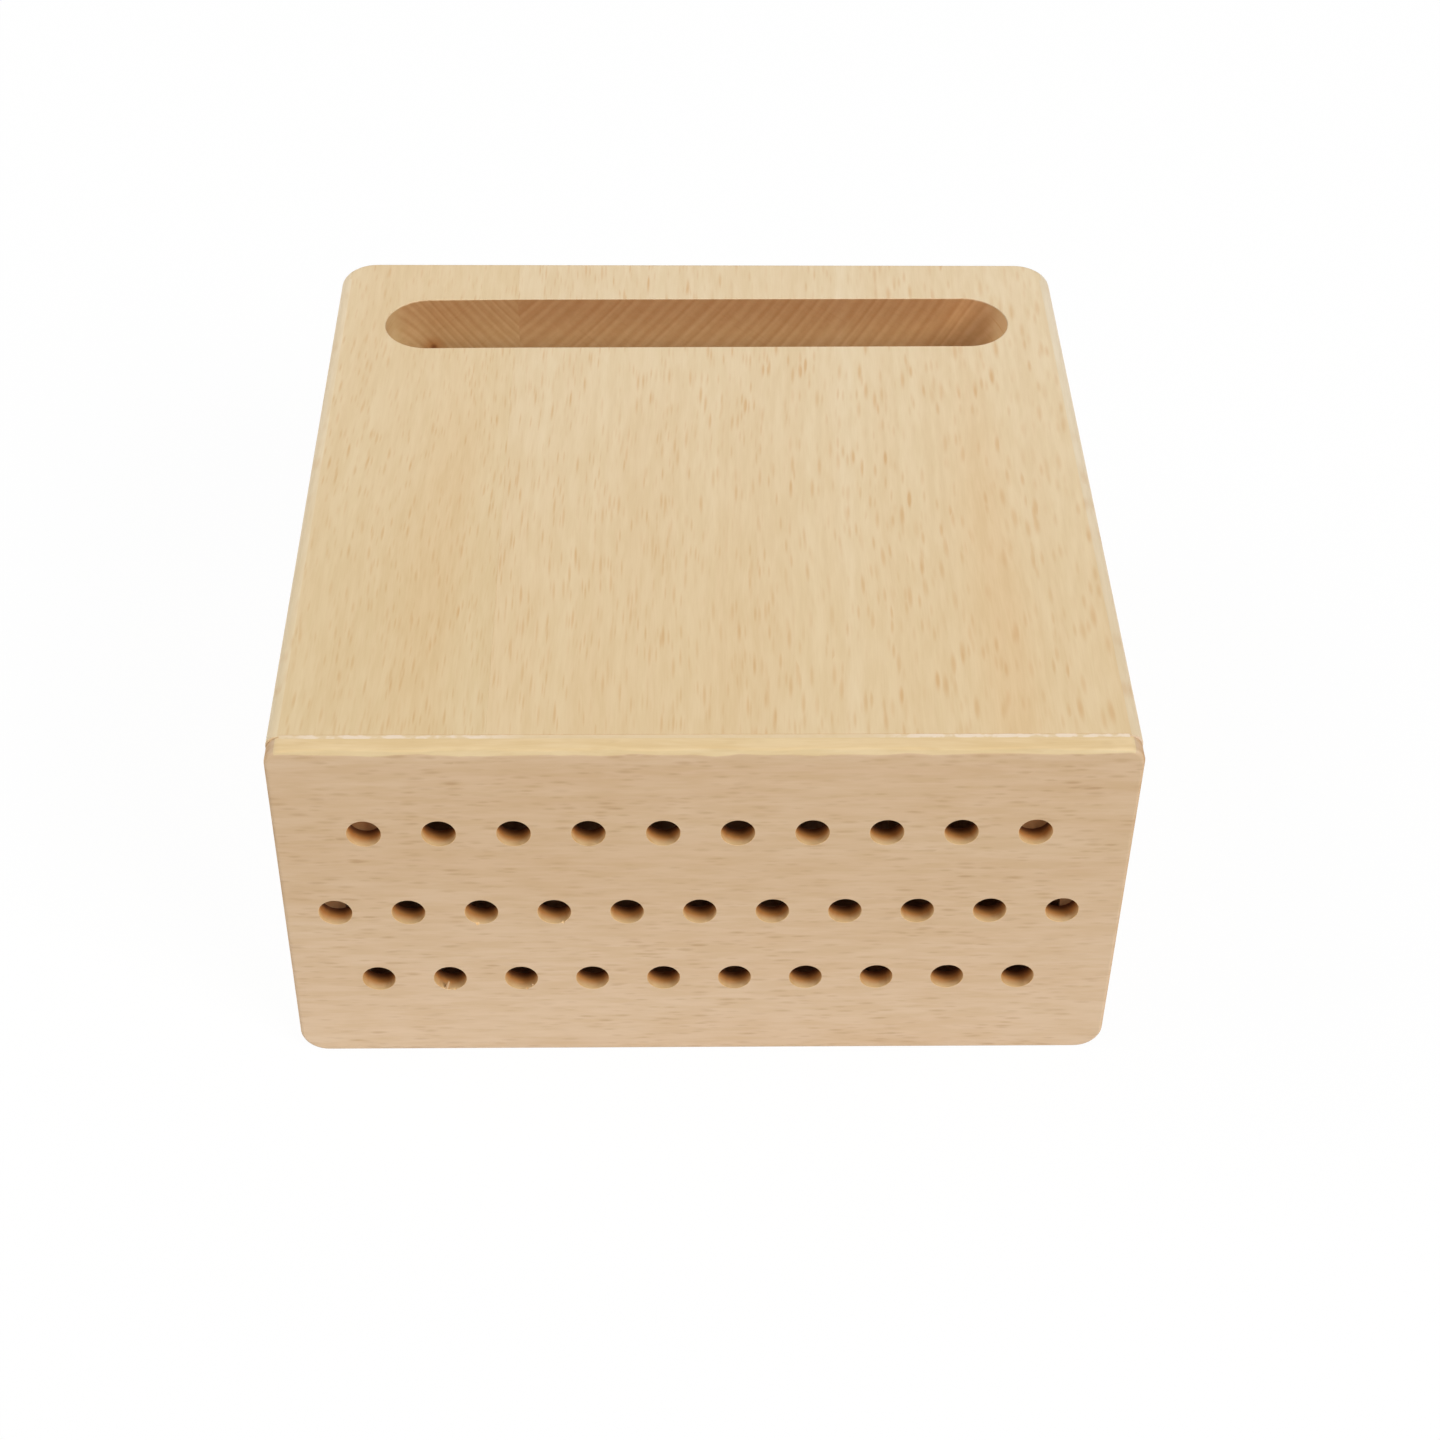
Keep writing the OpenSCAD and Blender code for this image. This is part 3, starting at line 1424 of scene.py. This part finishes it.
@dataclass
class DrilledPlate:
    """The thin front plate with its rows of tool holes.

    Attributes:
        low: its lowest corner.
        high: its highest corner.
        holes: centres of the holes by the name of their mount.
        hole_radius: radius of the holes.
        nicks: places where the drill tore a chip out of a rim.
        corner: radius of its lower corners.
        shoulder: radius sanded on its upper corners.
        ease: radius sanded round its face.
        rim: radius broken on the holes' rims.
        facets: number of faces round a hole.
        nick_depth: how far a nick goes into the plate.
        seam: width of the chamfer along the joint behind the plate.
        strips: number of upright strips that the upper edge wavers by.
        strip: width of a strip.
        strip_start: place of the first cut, from the centre of the leftmost hole.
        waver: unevenness of the sanded upper edge.
        waver_reach: how far from the middle the edge wavers.
        waver_high: share of the unevenness that lies above the level edge.
        waver_sizes: length of a wave in the edge's height and in its depth.
        trim_end: share of an upper corner's radius that the trimmed edge leaves out.
        trim_drop: how far down the trimmed edge reaches, in radii of the face's rounding.
        trim_inset: how far behind the face it begins.
    """

    low: Vector
    high: Vector
    holes: dict[str, Vector]
    hole_radius: float
    nicks: tuple[Tear, ...] = (
        Tear("tool_hole_2_03", -15.0, 1.7 * MM, 0.85 * MM),
        Tear("tool_hole_2_04", 30.0, 1.3 * MM, 0.7 * MM),
        Tear("tool_hole_3_02", 14.0, 1.0 * MM, 0.4 * MM),
        Tear("tool_hole_3_03", 18.0, 1.0 * MM, 0.4 * MM),
    )
    corner: float = 5 * MM
    shoulder: float = 3.0 * MM
    ease: float = 0.8 * MM
    rim: float = 0.05 * MM
    facets: int = 48
    nick_depth: float = 0.35 * MM
    seam: float = 0.14 * MM
    strips: int = 61
    strip: float = 13 / 6 * MM
    strip_start: float = -2.037 * MM
    waver: float = 1.1 * MM
    waver_reach: float = 70.5 * MM
    waver_high: float = 0.8
    waver_sizes: tuple[float, float] = (6 * MM, 8 * MM)
    trim_end: float = 0.6
    trim_drop: float = 1.5
    trim_inset: float = 0.05 * MM

    @classmethod
    def of_frame(cls, frame: dict) -> "DrilledPlate":
        """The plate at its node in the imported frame, with a hole at each mount.

        Args:
            frame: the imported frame.

        Returns:
            The plate.
        """
        bores = [m for m in frame["record"]["mounts"] if m["name"].startswith("tool_hole")]
        holes = {bore["name"]: Vector(bore["pos_m"]) for bore in bores}
        return cls(*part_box("hole_plate"), holes, bores[0]["dims"]["r_mm"] * MM)

    def build(self) -> bpy.types.Object:
        """Models the plate.

        Returns:
            The drilled plate.
        """
        plate = add_block("drilled_plate", self.low, self.high)
        bevel(plate, lambda e: runs_along(e, 1) and on_plane(e, 2, self.low.z), self.corner, 10)
        bevel(plate, lambda e: runs_along(e, 1) and on_plane(e, 2, self.high.z), self.shoulder, 8)
        self._cut_strips(plate)
        bevel(plate, lambda e: on_plane(e, 1, self.low.y) and self._at_border(e), self.ease, 4)
        bevel(plate, lambda e: on_plane(e, 1, self.high.y) and self._at_border(e), self.seam, 1)
        self._sand_top_edge(plate)
        carve(plate, self._drill())
        bevel(plate, self._rims_a_hole, self.rim, 2)
        carve(plate, self._nick_cutters())
        return plate

    def dress(
        self, plate: bpy.types.Object, finish: Finishes, hollow: Hollow, line: GlueLine
    ) -> None:
        """Grooves the plate for the glue and gives each surface its finish.

        Args:
            plate: the drilled plate.
            finish: the finishes.
            hollow: the space behind the plate.
            line: the glue along its upper edge.
        """
        # The back gets painted shade, the holes painted light and shade, and the upper edge painted
        # light and shade.
        inlays = [
            (dim(finish.plate), hollow.bounds),
            (finish.plate_hole.material(), self.in_a_hole),
            (finish.plate_edge.material(), self.on_top_edge),
        ]
        carve(plate, line.groove())
        settle(plate, finish.plate.material(), ["hole_plate"], inlays)

    def _cut_strips(self, plate: bpy.types.Object) -> None:
        """Cuts the faces into upright strips, so that the upper edge can waver.

        Args:
            plate: the plate.
        """
        pick(plate)
        bpy.ops.object.mode_set(mode="EDIT")
        first = min(hole.x for hole in self.holes.values()) + self.strip_start
        for step in range(self.strips + 1):
            bpy.ops.mesh.select_all(action="SELECT")
            x = first + step * self.strip
            bpy.ops.mesh.bisect(plane_co=(x, 0, 0), plane_no=(1, 0, 0))
        bpy.ops.object.mode_set(mode="OBJECT")

    def _at_border(self, edge: bmesh.types.BMEdge) -> bool:
        """Whether an edge parts the plate's face or back from its narrow sides."""
        return flat_faces(edge, 1) == 1 and len(edge.link_faces) == 2

    def _sand_top_edge(self, plate: bpy.types.Object) -> None:
        """Lets the sanded upper edge waver, as a hand leaves it.

        Args:
            plate: the plate.
        """

        def waver_share(gone: float, other: float, x: float) -> float:
            """How much a point of the rounding moves, by its distance from both its ends."""
            rounded = other < self.ease + TOUCH and gone / self.ease < NEARLY
            return 1 - gone / self.ease if rounded and abs(x) < self.waver_reach else 0

        def by_height(place: Vector) -> float:
            """Moves points on the rounding down, fully where it meets the face."""
            return waver_share(place.y - self.low.y, self.high.z - place.z, place.x)

        def by_depth(place: Vector) -> float:
            """Moves points on the rounding back, fully where it meets the top."""
            return waver_share(self.high.z - place.z, place.y - self.low.y, place.x)

        roughen(plate, by_height, self.waver, self.waver_sizes[0], "Z", self.waver_high)
        roughen(plate, by_depth, -self.waver, self.waver_sizes[1], "Y", self.waver_high)

    def _drill(self) -> bpy.types.Object:
        """Models the tool that cuts the holes.

        Returns:
            One tool made of a rod for each hole.
        """
        spare = 1 * MM
        bpy.ops.object.select_all(action="DESELECT")
        bpy.ops.mesh.primitive_cylinder_add(
            vertices=self.facets,
            radius=self.hole_radius,
            depth=self.high.y - self.low.y + 2 * spare,
            rotation=(math.pi / 2, 0, 0),
        )
        rod = name_new("drill")
        rods = []
        for hole in self.holes.values():
            twin = copy_of(rod, "drill_hole")
            twin.location = hole
            rods.append(twin)
        drop(rod)
        return joined(rods)

    def _nick_cutters(self) -> bpy.types.Object:
        """Models the tool that cuts the nicks.

        Returns:
            One tool made of a tapered wedge for each nick, its point at the nick's end.
        """
        wedges = []
        for nick in self.nicks:
            rim, _ = nick.place(self.holes, self.hole_radius)
            bpy.ops.object.select_all(action="DESELECT")
            bpy.ops.mesh.primitive_cone_add(vertices=4, radius1=1, radius2=0.2, depth=1)
            wedge = name_new("nick_cutter")
            wedge.rotation_euler = (-math.pi / 2, math.radians(-nick.turn), 0)
            wedge.scale = (nick.width / 2, nick.reach, 2 * self.nick_depth)
            wedge.location = Vector((rim.x, self.low.y, rim.z))
            wedges.append(wedge)
        return joined(wedges)

    def _rims_a_hole(self, edge: bmesh.types.BMEdge) -> bool:
        """Whether an edge belongs to the front rim of a hole."""
        middle = (edge.verts[0].co + edge.verts[1].co) / 2
        return on_plane(edge, 1, self.low.y) and has_wall(edge, 1) and self.in_a_hole(middle)

    def on_top_edge(self, place: Vector) -> bool:
        """Whether a place is on the trimmed upper edge, down to where its rounding ends.

        Args:
            place: the place.

        Returns:
            Whether it is.
        """
        between = abs(place.x) < self.high.x - self.trim_end * self.shoulder
        rounded = place.z > self.high.z - self.trim_drop * self.ease
        return between and rounded and place.y > self.low.y + self.trim_inset

    def in_a_hole(self, place: Vector) -> bool:
        """Whether a place is on a hole's wall or rim, or in a nick.

        Args:
            place: the place.

        Returns:
            Whether it is.
        """
        reach = self.hole_radius + self.rim + TOUCH
        away = (math.hypot(place.x - h.x, place.z - h.z) for h in self.holes.values())
        return any(distance < reach for distance in away) or self._in_a_nick(place)

    def _in_a_nick(self, place: Vector) -> bool:
        """Whether a place is within a nick's reach of its middle on the rim."""
        rims = ((nick, nick.place(self.holes, self.hole_radius)[0]) for nick in self.nicks)
        return any(math.hypot(place.x - r.x, place.z - r.z) < nick.reach for nick, r in rims)


@dataclass
class TornFibres:
    """Fibres that stand into a hole where the drill left them.

    Attributes:
        plate: the plate with the holes.
        fibres: the fibres.
        sunk: how far behind the plate's face they lie.
        rooted: how far their ends reach into the wood.
        frayed: how far they are bent out of true.
        fray_size: length of a bend.
    """

    plate: DrilledPlate
    fibres: tuple[Tear, ...] = (
        Tear("tool_hole_3_02", -15.0, 0.9 * MM, 1.9 * MM),
        Tear("tool_hole_3_03", 42.0, 0.8 * MM, 0.4 * MM),
    )
    sunk: float = 0.3 * MM
    rooted: float = 0.1 * MM
    frayed: float = 0.12 * MM
    fray_size: float = 0.5 * MM

    def build(self) -> bpy.types.Object:
        """Models the fibres.

        Returns:
            All fibres as one piece.
        """
        torn = joined([self._sliver(fibre) for fibre in self.fibres])
        torn.name = torn.data.name = "torn_fibres"
        roughen(torn, lambda place: 1.0, self.frayed, self.fray_size, "X", 0.5)
        return torn

    def dress(self, torn: bpy.types.Object, finish: Finishes) -> None:
        """Gives the fibres their finish."""
        settle(torn, finish.fibre.material())

    def _sliver(self, fibre: Tear) -> bpy.types.Object:
        """Models one flat sliver that tapers from the rim into the hole.

        Args:
            fibre: the fibre.

        Returns:
            The sliver.
        """
        rim, out = fibre.place(self.plate.holes, self.plate.hole_radius)
        bpy.ops.object.select_all(action="DESELECT")
        bpy.ops.mesh.primitive_cone_add(vertices=7, radius1=1, radius2=0.25, depth=1)
        sliver = name_new("sliver")
        select_edges(sliver, lambda e: abs(e.verts[0].co.z - e.verts[1].co.z) > 0.9)
        bpy.ops.mesh.subdivide(number_cuts=5)
        bpy.ops.object.mode_set(mode="OBJECT")
        sliver.rotation_euler = (0, math.radians(-fibre.turn), 0)
        sliver.scale = (fibre.width / 2, fibre.width / 3, fibre.reach)
        root = Vector((rim.x, self.plate.low.y + self.sunk, rim.z)) + out * self.rooted
        sliver.location = root - out * fibre.reach / 2
        return sliver


@dataclass
class Carcass:
    """The side boards, the two base boards and the rear board.

    Attributes:
        block: the block that the boards come from.
        boards: the CAD node and the name of each board.
    """

    block: RoundedBlock
    boards: tuple[tuple[str, str], ...] = (
        ("left_side", "side_board_left"),
        ("right_side", "side_board_right"),
        ("bottom_board_narrow", "base_board_right"),
        ("bottom_board_wide", "base_board_left"),
        ("back_board", "rear_board"),
    )

    def build(self) -> Pieces:
        """Models the boards and gives them by the name of their CAD node."""
        return {node: self.block.board(name, node) for node, name in self.boards}

    def dress(self, boards: Pieces, finish: Finishes, hollow: Hollow, line: GlueLine) -> None:
        """Gives each surface of the boards its finish.

        Args:
            boards: the boards by the name of their CAD node.
            finish: the finishes.
            hollow: the space between the boards.
            line: the glue, which marks the joint behind the plate.
        """
        for node, wood, slot in (
            ("left_side", finish.side_left, "side_beech"),
            ("right_side", finish.side_right, "side_beech"),
            ("bottom_board_narrow", finish.base_right, "bottom_beech"),
            ("bottom_board_wide", finish.base_left, "bottom_beech"),
            ("back_board", finish.rear, "side_beech"),
        ):
            # The inner sides and the ends behind the plate are darkened as painted shade.
            inlays = [(dim(wood), hollow.bounds), (painted_end_shade(wood), line.on_joint)]
            settle(boards[node], wood.material(), [node], inlays)


@dataclass
class CornerBlocks:
    """Sawn blocks glued into the upper corners behind the plate.

    Attributes:
        ease: leg of the chamfer that the saw and a knife left.
    """

    ease: float = 0.5 * MM

    def build(self) -> Pieces:
        """Models the blocks.

        Returns:
            The blocks by the name of their CAD node.
        """
        blocks = {}
        for node, name in (
            ("left_glue_block", "corner_block_left"),
            ("right_glue_block", "corner_block_right"),
        ):
            piece = add_block(name, *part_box(node))
            bevel(piece, lambda e: True, self.ease, 1)
            blocks[node] = piece
        return blocks

    def dress(self, blocks: Pieces, finish: Finishes) -> None:
        """Gives the blocks their finish."""
        for node, piece in blocks.items():
            settle(piece, finish.block.material(), [node])


# ------------------------------------------------------------------ studio


@dataclass(frozen=True)
class Lamp:
    """A square soft lamp that is aimed at the object.

    Attributes:
        name: name of the lamp.
        turn: where it stands, in degrees to the right of the plate's face.
        rise: its height, in degrees.
        side: length of its side, in metres.
        level: what it adds to a surface that faces it, where 1 shows a colour as written.
        reach: its distance from the object, in metres.
    """

    name: str
    turn: float
    rise: float
    side: float
    level: float
    reach: float = 4.0

    def build(self) -> None:
        """Adds the lamp to the scene."""
        turn, rise = math.radians(self.turn), math.radians(self.rise)
        ahead, right = -math.cos(turn) * math.cos(rise), math.sin(turn) * math.cos(rise)
        place = Vector((right, ahead, math.sin(rise))) * self.reach
        data = bpy.data.lights.new(self.name, "AREA")
        data.size = self.side
        data.energy = self.level * math.pi**2 * place.length_squared
        lamp = bpy.data.objects.new(self.name, data)
        lamp.location = place
        lamp.rotation_euler = place.to_track_quat("Z", "Y").to_euler()
        bpy.context.scene.collection.objects.link(lamp)


@dataclass
class Studio:
    """Floor, lamps, world and camera.

    Attributes:
        lens: focal length of the camera, in mm.
        sensor: width of its sensor, in mm.
        eye: place of the camera.
        pitch: how far the camera looks down, in radians.
        yaw: how far it looks to the right, in radians.
        roll: how far it is turned about its own axis, in radians.
        sky: strength of the even light from all sides.
        lamps: the lamps.
        floor_side: length of the floor's side, in metres.
        floor_gap: how far the floor lies below the object.
    """

    lens: float = 65.084
    sensor: float = 36.0
    eye: Vector = field(default_factory=lambda: Vector((-7.222, -403.74, 371.443)) * MM)
    pitch: float = 0.7247
    yaw: float = 0.0290
    roll: float = 0.01714
    sky: float = 0.22
    lamps: tuple[Lamp, ...] = (
        Lamp("key_lamp", 45.0, 35.0, 1.9, 0.67),
        Lamp("fill_lamp", -45.0, 35.0, 2.4, 0.12),
        Lamp("side_lamp", -95.0, 40.0, 2.8, 0.41),
        Lamp("rear_lamp", 150.0, 40.0, 2.4, 0.08),
    )
    floor_side: float = 12.0
    floor_gap: float = 0.1 * MM

    def build(self) -> None:
        """Sets up everything around the object."""
        self._floor()
        for lamp in self.lamps:
            lamp.build()
        self._world()
        self._camera()
        bpy.context.scene.view_settings.view_transform = "Standard"

    def _floor(self) -> None:
        """Adds a wide pale floor just under the object."""
        bpy.ops.object.select_all(action="DESELECT")
        bpy.ops.mesh.primitive_plane_add(size=self.floor_side, location=(0, 0, -self.floor_gap))
        floor = name_new("studio_floor")
        floor.data.materials.append(FloorFinish().material())
        floor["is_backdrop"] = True

    def _world(self) -> None:
        """Adds an even light that the eye sees as white."""
        s = Shader(bpy.data.worlds.new("studio_air"))
        light = s.node("ShaderNodeBackground", None, {"Color": WHITE, "Strength": self.sky})
        white = s.node("ShaderNodeBackground", None, {"Color": WHITE, "Strength": 1.0})
        looks = {0: s.seen(), 1: light, 2: white}
        bpy.context.scene.world = s.finish(s.node("ShaderNodeMixShader", None, looks))

    def _camera(self) -> None:
        """Adds the camera and makes it the scene's own."""
        flat = Vector((math.sin(self.yaw), math.cos(self.yaw), 0)) * math.cos(self.pitch)
        ahead = flat - Vector((0, 0, math.sin(self.pitch)))
        level = Vector((math.cos(self.yaw), -math.sin(self.yaw), 0))
        upright = level.cross(ahead)
        right = level * math.cos(self.roll) + upright * math.sin(self.roll)
        up = upright * math.cos(self.roll) - level * math.sin(self.roll)
        data = bpy.data.cameras.new("camera")
        data.sensor_width = self.sensor
        data.lens = self.lens
        data.clip_start = 0.01
        camera = bpy.data.objects.new("camera", data)
        turn = Matrix((right, up, -ahead)).transposed().to_4x4()
        camera.matrix_world = Matrix.Translation(self.eye) @ turn
        bpy.context.scene.collection.objects.link(camera)
        bpy.context.scene.camera = camera


# ------------------------------------------------------------------ the whole caddy


def main() -> None:
    """Builds the studio and the caddy, piece by piece."""
    logging.basicConfig(level=logging.INFO, format="%(name)s: %(message)s")
    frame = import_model()
    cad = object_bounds()
    Studio().build()
    finish = Finishes()
    hollow = Hollow.of_frame()

    block = RoundedBlock(*map(Vector, cad))
    block.build()
    line = GlueLine.behind_plate(finish.glue.material())
    line.dress(line.build())
    top = TopPanel(block)
    top.dress(top.build(), finish, hollow, line)
    carcass = Carcass(block)
    carcass.dress(carcass.build(), finish, hollow, line)
    plate = DrilledPlate.of_frame(frame)
    plate.dress(plate.build(), finish, hollow, line)
    torn = TornFibres(plate)
    torn.dress(torn.build(), finish)
    corners = CornerBlocks()
    corners.dress(corners.build(), finish)

    drop(block.solid)


if __name__ == "__main__":
    main()
